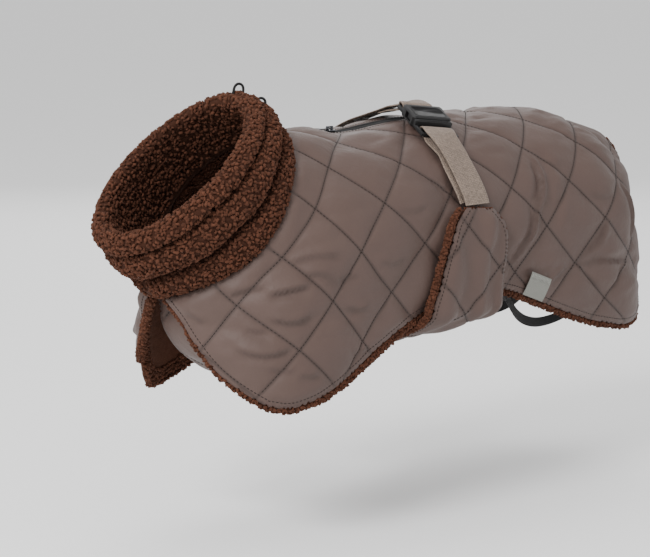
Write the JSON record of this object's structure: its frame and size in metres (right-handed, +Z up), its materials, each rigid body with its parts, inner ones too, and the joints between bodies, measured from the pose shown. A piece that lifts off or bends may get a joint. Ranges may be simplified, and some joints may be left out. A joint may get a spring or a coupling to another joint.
{
  "type": "quilted dog winter coat, as worn",
  "caption": "Quilted nylon dog coat with fleece lining, scrunched fleece collar, belly panel with side flaps, webbing strap with buckle, and a zipped leash slit.",
  "frame": {"origin": "on the wearer's back, in the middle of the spine, at the inner face of the fleece lining", "axes": "-X towards the head end, -Y the wearer's left, +Z up"},
  "size_m": [0.5984, 0.2262, 0.263],
  "materials": {
    "nylon": "quilted nylon with a soft sheen",
    "fleece": "curly teddy fleece",
    "webbing": "woven webbing",
    "plastic": "moulded, half gloss",
    "elastic": "ribbed elastic and woven zip tape",
    "metal": "gunmetal lacquer",
    "label": "woven satin, bare",
    "cord": "round elastic cord"
  },
  "bodies": {
    "coat": {"back_shell": "nylon", "back_lining": "fleece", "collar": "fleece", "belly_shell": "nylon", "belly_lining": "fleece", "lobe_roll_far": "fleece", "flap_roll_near": "fleece", "flap_roll_far": "fleece", "strap_near": "webbing", "strap_far": "webbing", "buckle_female": "plastic", "buckle_male": "plastic", "zip_tape_near": "elastic", "zip_tape_far": "elastic", "zip_slider": "metal", "label": "label", "leg_elastic_near": "elastic", "leg_elastic_far": "elastic", "leg_glide_near": "plastic", "leg_glide_far": "plastic", "cord_loop_top": "cord", "cord_loop_low": "cord"},
    "pull": {"zip_pull": "metal"}
  },
  "joints": [
    {"name": "pull_hinge", "type": "hinge", "parent": "coat", "child": "pull", "pos_m": [-0.13402, 0, 0.0029], "axis": [0, 1, 0], "range_deg": [0, 170]}
  ]
}
